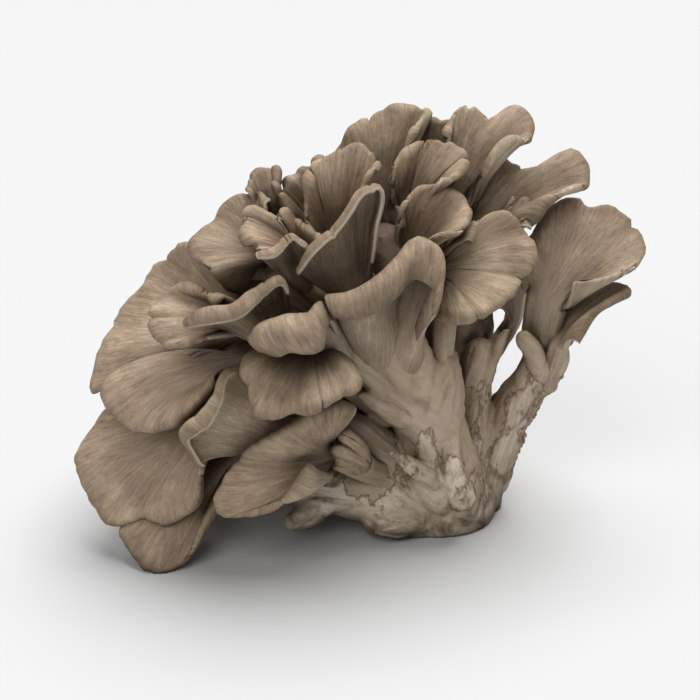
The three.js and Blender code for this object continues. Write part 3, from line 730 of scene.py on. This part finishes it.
    # stalk: ellipses along the curve from inside the branch to the neck
    path = np.vstack([spec["root"], neck])
    count = int(STALK_ROWS * DETAIL)
    lean = unit(top * np.sin(rise.mean()) + middle * np.cos(rise.mean()))
    stalk_t = np.linspace(0, 1, count + 1)[:-1]
    centres = curve(path, stalk_t)
    ahead = unit(curve(path, np.minimum(stalk_t + 0.05, 1.0)) - centres + 1e-9)
    ahead = unit(ahead * (1 - 0.5 * smooth(stalk_t))[:, None] + lean * (0.5 * smooth(stalk_t))[:, None])
    across = unit(side - ahead * (ahead @ side)[:, None])
    lifted = unit(np.cross(across, ahead))
    swell = 1 + 0.06 * ripples(rng, stalk_t, 2, (0.7, 1.7))
    rows_u = centres[None] + across[None] * (np.cos(turn)[:, None] * stalk_wide / 2 * swell)[..., None]
    flute = 1 + 0.07 * ripples(rng, np.linspace(0, 1, columns), 3, (2, 5))[:, None]
    depth = (np.sin(turn)[:, None] * flute * stalk_thick / 2 * swell)[..., None]
    stalk_upper = rows_u + lifted[None] * depth
    stalk_lower = rows_u - lifted[None] * depth
    run_stalk = -np.linalg.norm(path[-1] - path[0]) * (1 - stalk_t)

    top_side = np.concatenate([stalk_upper, upper], 1)
    low_side = np.concatenate([stalk_lower, lower], 1)
    everything = np.concatenate([top_side, low_side[::-1]], 0)
    total_rows = everything.shape[1]
    run_all = np.concatenate([np.tile(run_stalk, (columns, 1)), runs], 1)
    spread = np.concatenate([np.zeros((columns, count)), reach_share], 1)
    lateral = (u[:, :1] - 0.5) * rim_length * 0.55 * np.ones((1, total_rows))
    offset = rng.uniform(0, 300)
    fibre_top = np.stack([lateral, run_all * 0.09, np.full_like(lateral, offset)], -1)
    fibre_low = np.stack([lateral, run_all * 0.09, np.full_like(lateral, offset + 40)], -1)
    near_rim = np.concatenate([np.full((columns, count), 30.0), closest], 1)
    fields = {
        "fibre": np.concatenate([fibre_top, fibre_low[::-1]], 0),
        "under": np.concatenate([np.zeros_like(lateral), np.ones_like(lateral)], 0),
        "spread": np.concatenate([spread, spread[::-1]], 0),
        "inset": np.concatenate([near_rim, near_rim[::-1]], 0),
        "tone": np.full((2 * columns, total_rows), rng.uniform(-1, 1)),
    }
    return everything, fields


def skin_faces(around, rows):
    """Faces of a closed skin whose places are numbered around first, then along."""
    k = np.arange(around)
    nxt = (k + 1) % around
    faces = []
    for row in range(rows - 1):
        a = k * rows + row
        b = nxt * rows + row
        faces.append(np.stack([a, b, b + 1, a + 1], 1))
    half = around // 2
    j = np.arange(half - 1)
    far = around - 1 - j
    faces.append(np.stack([(j + 1) * rows, j * rows, far * rows, (far - 1) * rows], 1))
    end = rows - 1
    closing = [j * rows + end, (j + 1) * rows + end, (far - 1) * rows + end, far * rows + end]
    faces.append(np.stack(closing, 1))
    return np.concatenate(faces)


CLUSTER_MIDDLE = np.array([-34.0, 4.0, 10.0])
FAN_ANGLES = np.radians([-105, -62, -22, 22, 62, 105])


def fan_frond(entry):
    """Guide points of a plain fan shaped frond that faces away from the middle of the cluster."""
    name, root, neck, tip, width = entry
    start, finish = np.array(neck, float), np.array(tip, float)
    along = unit(finish - start)
    length = np.linalg.norm(finish - start)
    away = unit((start + finish) / 2 - CLUSTER_MIDDLE)
    side = unit(np.cross(along, away))
    centre = start + along * (length - width / 2)
    rim = centre + (np.outer(np.sin(FAN_ANGLES), side) + np.outer(np.cos(FAN_ANGLES), along)) * width / 2
    rim[:, 2] = np.maximum(rim[:, 2], LOWEST_RIM)
    guide = {"name": name, "root": [root], "neck": neck, "rim": rim.tolist()}
    return guide | {"stalk": FAN_STALK, "rise": FAN_BEND, "edge": FAN_BEND}


# ---------------------------------------------------------------- the base: branches run into one body
# The ways the fibres of the base run; each place follows the one its own branch lies nearest to.
GRAIN_WAYS = unit(np.array([[0.25, -0.1, 1.0], [-0.7, -0.2, 0.65], [-1.0, -0.2, 0.22], [-0.3, 0.8, 0.6]]))


def base_mesh(stalks):
    """The skin of the base, with the shares of its fibres' ways and the depth of its grooves."""
    runs = []
    for _, stations in BRANCHES:
        s = np.array(stations, float)
        t = np.linspace(0, 1, 3 * (len(s) - 1) + 1)
        runs.append(curve(s, t))
    body_runs = len(runs)
    runs += stalks
    low = np.array([-84.0, -44.0, -8.0])
    high = np.array([50.0, 50.0, 108.0])
    shape = np.ceil((high - low) / CELL).astype(int)
    field = np.full(shape, 6.0, np.float32)
    axes = [low[a] + CELL * np.arange(shape[a]) for a in range(3)]
    segments = []
    for index, run in enumerate(runs):
        for a, b in zip(run[:-1], run[1:]):
            segments.append((a, b))
            reach = max(a[3], b[3]) + 7
            lo = np.maximum(((np.minimum(a[:3], b[:3]) - reach - low) / CELL).astype(int), 0)
            hi = np.minimum(((np.maximum(a[:3], b[:3]) + reach - low) / CELL).astype(int) + 1, shape)
            if np.any(hi <= lo):
                continue
            x, y, z = np.meshgrid(*[axes[i][lo[i]:hi[i]] for i in range(3)], indexing="ij", sparse=True)
            d = b[:3] - a[:3]
            h = ((x - a[0]) * d[0] + (y - a[1]) * d[1] + (z - a[2]) * d[2]) / (d @ d)
            h = np.clip(h, 0, 1)
            gap = (x - a[0] - h * d[0]) ** 2 + (y - a[1] - h * d[1]) ** 2
            gap = np.sqrt(gap + (z - a[2] - h * d[2]) ** 2)
            gap = gap - (a[3] + (b[3] - a[3]) * h)
            cut = tuple(slice(lo[i], hi[i]) for i in range(3))
            old = field[cut]
            soft = BLEND if index < body_runs else BLEND * 0.7
            mixed = np.clip(0.5 + 0.5 * (old - gap) / soft, 0, 1)
            field[cut] = old * (1 - mixed) + gap * mixed - soft * mixed * (1 - mixed)
    # broad dents and lumps, then the flat cut
    x, y, z = np.meshgrid(*axes, indexing="ij")
    close = np.abs(field) < 4
    places = np.stack([x[close], y[close], z[close]], -1)
    field[close] += 0.5 * noise(places / 8.0) + 0.25 * noise(places / 4.0 + 11)
    field = np.maximum(field, -z).astype(np.float32)
    vdb = openvdb.FloatGrid(background=6.0)
    vdb.copyFromArray(field)
    points, quads = vdb.convertToQuads(isovalue=0.0)
    points = points * CELL + low
    quads = quads[:, ::-1].astype(int)
    # local direction of the flesh: the nearest runs' directions, softly averaged
    grain = np.zeros((len(points), 3))
    for a, b in segments:
        d = b[:3] - a[:3]
        h = np.clip(((points - a[:3]) @ d) / (d @ d), 0, 1)
        gap = np.linalg.norm(points - a[:3] - h[:, None] * d, axis=1) - (a[3] + (b[3] - a[3]) * h)
        grain += np.exp(-np.abs(gap) / 1.6)[:, None] * unit(d)
    grain = unit(grain + (0, 0, 1e-3))
    shares = np.exp(14 * (np.abs(grain @ GRAIN_WAYS.T) - 1))
    shares = shares / shares.sum(1, keepdims=True)
    normals = vertex_normals(points, quads)
    relief = np.zeros(len(points))
    for way, share in zip(GRAIN_WAYS, shares.T):
        drawn = points - way * (points @ way * 0.88)[:, None]
        crack = 1 - smooth(np.abs(noise(drawn / 3.6 + 3)) / 0.16)
        here = 0.30 * noise(drawn / 1.5) + 0.2 * noise(drawn / 0.8 + 5) + 0.45 * noise(drawn / 3.8 + 9)
        relief += share * (here - 0.85 * crack * smooth(noise(points / 7.0 + 20) + 0.5))
    relief *= smooth((points[:, 2] - 0.2) / 1.5)
    points = points + normals * relief[:, None]
    points[:, 2] = np.maximum(points[:, 2], 0)
    fields = {"way_%d" % i: shares[:, i] for i in range(len(GRAIN_WAYS))}
    fields["groove"] = relief
    return points, quads, fields


def vertex_normals(points, quads):
    p = points[quads]
    face = np.cross(p[:, 2] - p[:, 0], p[:, 3] - p[:, 1])
    out = np.zeros_like(points)
    for corner in range(4):
        np.add.at(out, quads[:, corner], face)
    return unit(out)


# ---------------------------------------------------------------- materials
def shader(name):
    material = bpy.data.materials.new(name)
    material.use_nodes = True
    tree = material.node_tree
    return material, tree, tree.nodes["Principled BSDF"]


def node(tree, kind, **settings):
    made = tree.nodes.new(kind)
    for key, value in settings.items():
        setattr(made, key, value)
    return made


def field_of(tree, name, output="Fac"):
    return node(tree, "ShaderNodeAttribute", attribute_name=name).outputs[output]


def grain_noise(tree, vector, scale, detail, rough, distortion=0.0):
    made = node(tree, "ShaderNodeTexNoise")
    made.inputs["Scale"].default_value = scale
    made.inputs["Detail"].default_value = detail
    made.inputs["Roughness"].default_value = rough
    made.inputs["Distortion"].default_value = distortion
    tree.links.new(vector, made.inputs["Vector"])
    return made.outputs["Fac"]


def ramp(tree, value, low, high, a=0.0, b=1.0):
    made = node(tree, "ShaderNodeMapRange", clamp=True)
    for key, number in (("From Min", low), ("From Max", high), ("To Min", a), ("To Max", b)):
        made.inputs[key].default_value = number
    tree.links.new(value, made.inputs["Value"])
    return made.outputs["Result"]


def sum_of(tree, a, b, kind="ADD"):
    made = node(tree, "ShaderNodeMath", operation=kind)
    for slot, value in zip(made.inputs, (a, b)):
        if isinstance(value, (int, float)):
            slot.default_value = value
        else:
            tree.links.new(value, slot)
    return made.outputs[0]


def blend_colour(tree, share, a, b, kind="MIX"):
    made = node(tree, "ShaderNodeMix", data_type="RGBA", blend_type=kind)
    for slot, value in ((made.inputs[6], a), (made.inputs[7], b)):
        if isinstance(value, tuple):
            slot.default_value = (*value, 1)
        else:
            tree.links.new(value, slot)
    if isinstance(share, (int, float)):
        made.inputs[0].default_value = share
    else:
        tree.links.new(share, made.inputs[0])
    return made.outputs[2]


def grey(tree, value):
    """A grey colour that is as light as a value."""
    made = node(tree, "ShaderNodeCombineColor")
    for slot in made.inputs:
        tree.links.new(value, slot)
    return made.outputs[0]


def paint_crevice_shade(tree, colour):
    """Painted shade: darken what lies deep between other flesh, where the flesh around it shuts out the
    light.
    """
    hidden = node(tree, "ShaderNodeAmbientOcclusion", samples=6)
    hidden.inputs["Distance"].default_value = PAINTED_SHADE_REACH
    open_share = ramp(tree, hidden.outputs["AO"], PAINTED_SHADE_SHUT, PAINTED_SHADE_OPEN)
    shade = blend_colour(tree, open_share, PAINTED_SHADE_TINT, (1.0, 1.0, 1.0))
    return blend_colour(tree, 1.0, colour, shade, "MULTIPLY")


def finish_shader(tree, bsdf, colour, rough, heights):
    tree.links.new(colour, bsdf.inputs["Base Color"])
    tree.links.new(rough, bsdf.inputs["Roughness"])
    previous = None
    for height, distance in heights:
        bump = node(tree, "ShaderNodeBump")
        bump.inputs["Strength"].default_value = 1.0
        bump.inputs["Distance"].default_value = distance * MM
        tree.links.new(height, bump.inputs["Height"])
        if previous is not None:
            tree.links.new(previous, bump.inputs["Normal"])
        previous = bump.outputs["Normal"]
    tree.links.new(previous, bsdf.inputs["Normal"])
    bsdf.inputs["Specular IOR Level"].default_value = 0.3
    bsdf.inputs["IOR"].default_value = 1.4


def cap_material():
    material, tree, bsdf = shader("cap_flesh")
    place = node(tree, "ShaderNodeNewGeometry").outputs["Position"]
    fibre = field_of(tree, "fibre", "Vector")
    under = field_of(tree, "under")
    inset = field_of(tree, "inset")
    spread = field_of(tree, "spread")
    tone = field_of(tree, "tone")
    fine = grain_noise(tree, fibre, 3.0, 6, 0.68)
    broad = grain_noise(tree, fibre, 0.55, 3, 0.5)
    smudge = grain_noise(tree, fibre, 1.1, 5, 0.62, 0.6)
    mottle = grain_noise(tree, place, 95, 5, 0.6)
    speck = grain_noise(tree, place, 900, 3, 0.6)
    lift = ramp(tree, mottle, 0.32, 0.68)
    brown = blend_colour(tree, lift, CAP_DARK, CAP_LIGHT)
    brown = blend_colour(tree, ramp(tree, broad, 0.35, 0.7), brown, CAP_MID)
    brown = blend_colour(tree, ramp(tree, spread, 0.25, 0.9, 0.35, 0.0), brown, CAP_PALE)
    pale = blend_colour(tree, ramp(tree, mottle, 0.3, 0.7), UNDER_DARK, UNDER_LIGHT)
    cap_colour = blend_colour(tree, under, brown, pale)
    cap_colour = blend_colour(tree, ramp(tree, spread, 0.0, 0.16, 0.8, 0.0), cap_colour, pale)
    streak = ramp(tree, fine, 0.34, 0.68, 0.74, 1.16)
    streak = sum_of(tree, streak, ramp(tree, smudge, 0.36, 0.66, 0.76, 1.16), "MULTIPLY")
    cap_colour = blend_colour(tree, 0.9, cap_colour, grey(tree, streak), "MULTIPLY")
    dusk = ramp(tree, sum_of(tree, inset, sum_of(tree, mottle, 2.0, "MULTIPLY")), 1.6, 5.5, 0.42, 0.0)
    cap_colour = blend_colour(tree, dusk, cap_colour, RIM_DARK)
    # pale margin of the cap, partly a painted highlight along its rounded rim
    edge = ramp(tree, sum_of(tree, inset, sum_of(tree, fine, 0.9, "MULTIPLY")), 0.6, 1.25, 0.68, 0.0)
    cap_colour = blend_colour(tree, edge, cap_colour, RIM_PALE_AND_HIGHLIGHT)
    shade = ramp(tree, tone, -1.0, 1.0, 0.9, 1.08)
    cap_colour = blend_colour(tree, 1.0, cap_colour, grey(tree, shade), "MULTIPLY")
    spots = ramp(tree, speck, 0.62, 0.72, 0.0, 0.35)
    cap_colour = blend_colour(tree, spots, cap_colour, SPOT)
    # painted shade in the crevices between fronds, from how much nearby flesh hides each place
    cap_colour = paint_crevice_shade(tree, cap_colour)
    rough = ramp(tree, mottle, 0.3, 0.7, 0.62, 0.82)
    finish_shader(tree, bsdf, cap_colour, rough, [(fine, 0.2), (mottle, 0.8), (speck, 0.1)])
    return material


def drawn_noise(tree, place, way, scale, squeeze):
    """Noise drawn out along one way, for fibres."""
    dot = node(tree, "ShaderNodeVectorMath", operation="DOT_PRODUCT")
    tree.links.new(place, dot.inputs[0])
    dot.inputs[1].default_value = tuple(way)
    back = node(tree, "ShaderNodeVectorMath", operation="SCALE")
    back.inputs[0].default_value = tuple(way * -squeeze)
    tree.links.new(dot.outputs["Value"], back.inputs["Scale"])
    add = node(tree, "ShaderNodeVectorMath", operation="ADD")
    tree.links.new(place, add.inputs[0])
    tree.links.new(back.outputs[0], add.inputs[1])
    return grain_noise(tree, add.outputs[0], scale, 6, 0.66)


def stem_material():
    material, tree, bsdf = shader("stem_flesh")
    place = node(tree, "ShaderNodeNewGeometry").outputs["Position"]
    split = node(tree, "ShaderNodeSeparateXYZ")
    tree.links.new(place, split.inputs[0])
    fine = 0.0
    for index, way in enumerate(GRAIN_WAYS):
        share = field_of(tree, "way_%d" % index)
        fine = sum_of(tree, fine, sum_of(tree, share, drawn_noise(tree, place, way, 850, 0.93), "MULTIPLY"))
    groove_depth = field_of(tree, "groove")
    broad = grain_noise(tree, place, 45, 4, 0.55, 0.4)
    patch = grain_noise(tree, place, 110, 6, 0.62, 0.8)
    speck = grain_noise(tree, place, 800, 3, 0.6)
    colour = blend_colour(tree, ramp(tree, broad, 0.35, 0.65), STEM_DARK, STEM_LIGHT)
    colour = blend_colour(tree, ramp(tree, fine, 0.48, 0.68, 0.0, 0.6), colour, STEM_PALE)
    colour = blend_colour(tree, ramp(tree, fine, 0.32, 0.47, 0.6, 0.0), colour, STEM_LINE_AND_GROOVE_SHADE)
    # painted shade: darker the deeper the base's surface dips, in its grooves
    colour = blend_colour(tree, ramp(tree, groove_depth, -0.8, 0.05, 0.8, 0.0), colour, STEM_LINE_AND_GROOVE_SHADE)
    height = sum_of(tree, split.outputs[2], PEEL_SLOPE, "MULTIPLY")
    ragged = sum_of(tree, drawn_noise(tree, place, np.array([0.1, 0.0, 0.995]), 62, 0.5), height)
    skin = ramp(tree, ragged, PEEL_AT, PEEL_AT + PEEL_FADE)
    colour = blend_colour(tree, sum_of(tree, skin, 0.55, "MULTIPLY"), colour, STEM_SKIN)
    below = ramp(tree, ragged, PEEL_AT - TORN_FADE, PEEL_AT)
    above = ramp(tree, ragged, PEEL_AT, PEEL_AT + PEEL_FADE, 1.0, 0.0)
    torn = sum_of(tree, below, above, "MULTIPLY")
    colour = blend_colour(tree, sum_of(tree, torn, 0.7, "MULTIPLY"), colour, SOIL)
    low = ramp(tree, split.outputs[2], 0.0, 0.022, 0.22, 0.0)
    soil = ramp(tree, sum_of(tree, patch, low), 0.62, 0.8, 0.0, 0.85)
    colour = blend_colour(tree, soil, colour, SOIL)
    spots = ramp(tree, speck, 0.64, 0.74, 0.0, 0.5)
    colour = blend_colour(tree, spots, colour, SPOT)
    # painted shade in the crevices of the base, from how much nearby flesh hides each place
    colour = paint_crevice_shade(tree, colour)
    rough = ramp(tree, patch, 0.3, 0.7, 0.6, 0.85)
    finish_shader(tree, bsdf, colour, rough, [(fine, 0.3), (patch, 0.6), (skin, 0.5), (speck, 0.1)])
    return material


cap_flesh = cap_material()
stem_flesh = stem_material()

# ---------------------------------------------------------------- the pieces
fronds = FRONDS + [fan_frond(entry) for entry in BACK_FRONDS]
stalks = []
for spec in fronds:
    wide, thick = spec["stalk"]
    root = np.array(spec["root"][0], float)
    after = np.array((spec["root"] + [spec["neck"]])[1], float)
    radius = (wide + thick) / 4
    reach = root + (after - root) * 0.7
    stalks.append(np.array([[*root, radius * 1.05], [*reach, radius * 0.8]]))
for index, spec in enumerate(fronds):
    front = index < len(FRONDS)
    columns, rows = (int(count * DETAIL) for count in (FRONT_GRID if front else BACK_GRID))
    grid, fields = frond_grid(spec, FIRST_SEED + index, columns, rows)
    around, along = grid.shape[:2]
    places = grid.reshape(-1, 3)
    places[:, 2] = np.maximum(places[:, 2], CLEAR)
    flat = {}
    for key, value in fields.items():
        flat[key] = value.reshape(-1, 3) if value.ndim == 3 else value.ravel()
    piece = make_mesh("look_" + spec["name"], places, skin_faces(around, along), flat, cap_flesh)
    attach(piece, "root")
    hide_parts(spec["name"])

points, quads, fields = base_mesh(stalks)
piece = make_mesh("look_stem_base", points, quads, fields, stem_flesh)
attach(piece, "root")
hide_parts("stem_base")

# ---------------------------------------------------------------- floor, light and camera
bpy.ops.mesh.primitive_plane_add(size=6, location=(0, 0, 0))
floor = bpy.context.object
floor.name = "studio_floor"
paint, tree, bsdf = shader("studio_floor")
bsdf.inputs["Base Color"].default_value = FLOOR_TINT
bsdf.inputs["Roughness"].default_value = 0.9
bsdf.inputs["Specular IOR Level"].default_value = 0.1
floor.data.materials.append(paint)

world = bpy.data.worlds.new("studio")
world.use_nodes = True
world.node_tree.nodes["Background"].inputs[0].default_value = (1.0, 1.0, 1.0, 1)
world.node_tree.nodes["Background"].inputs[1].default_value = WORLD_LIGHT
bpy.context.scene.world = world


def sun(name, place, strength, spread):
    """A sun that shines from a direction; spread is its width in degrees, for soft shadows."""
    light = bpy.data.lights.new(name, "SUN")
    light.angle = math.radians(spread)
    light.energy = strength
    lamp = bpy.data.objects.new(name, light)
    lamp.rotation_mode = "QUATERNION"
    lamp.rotation_quaternion = Vector(place).to_track_quat("Z", "Y")
    bpy.context.scene.collection.objects.link(lamp)


sun("key", *KEY_LIGHT)
sun("fill", *FILL_LIGHT)

CAMERA_AIM = np.array([-28.1, 0.0, 55.6]) * MM
CAMERA_BACK = 515 * MM
CAMERA_HEIGHT = math.radians(20)
data = bpy.data.cameras.new("camera")
data.lens = 85
data.sensor_width = 36
camera = bpy.data.objects.new("camera", data)
camera.location = (
    CAMERA_AIM[0],
    CAMERA_AIM[1] - CAMERA_BACK * math.cos(CAMERA_HEIGHT),
    CAMERA_AIM[2] + CAMERA_BACK * math.sin(CAMERA_HEIGHT),
)
camera.rotation_euler = (math.pi / 2 - CAMERA_HEIGHT, 0, 0)
bpy.context.scene.collection.objects.link(camera)
bpy.context.scene.camera = camera
bpy.context.scene.view_settings.view_transform = "Standard"
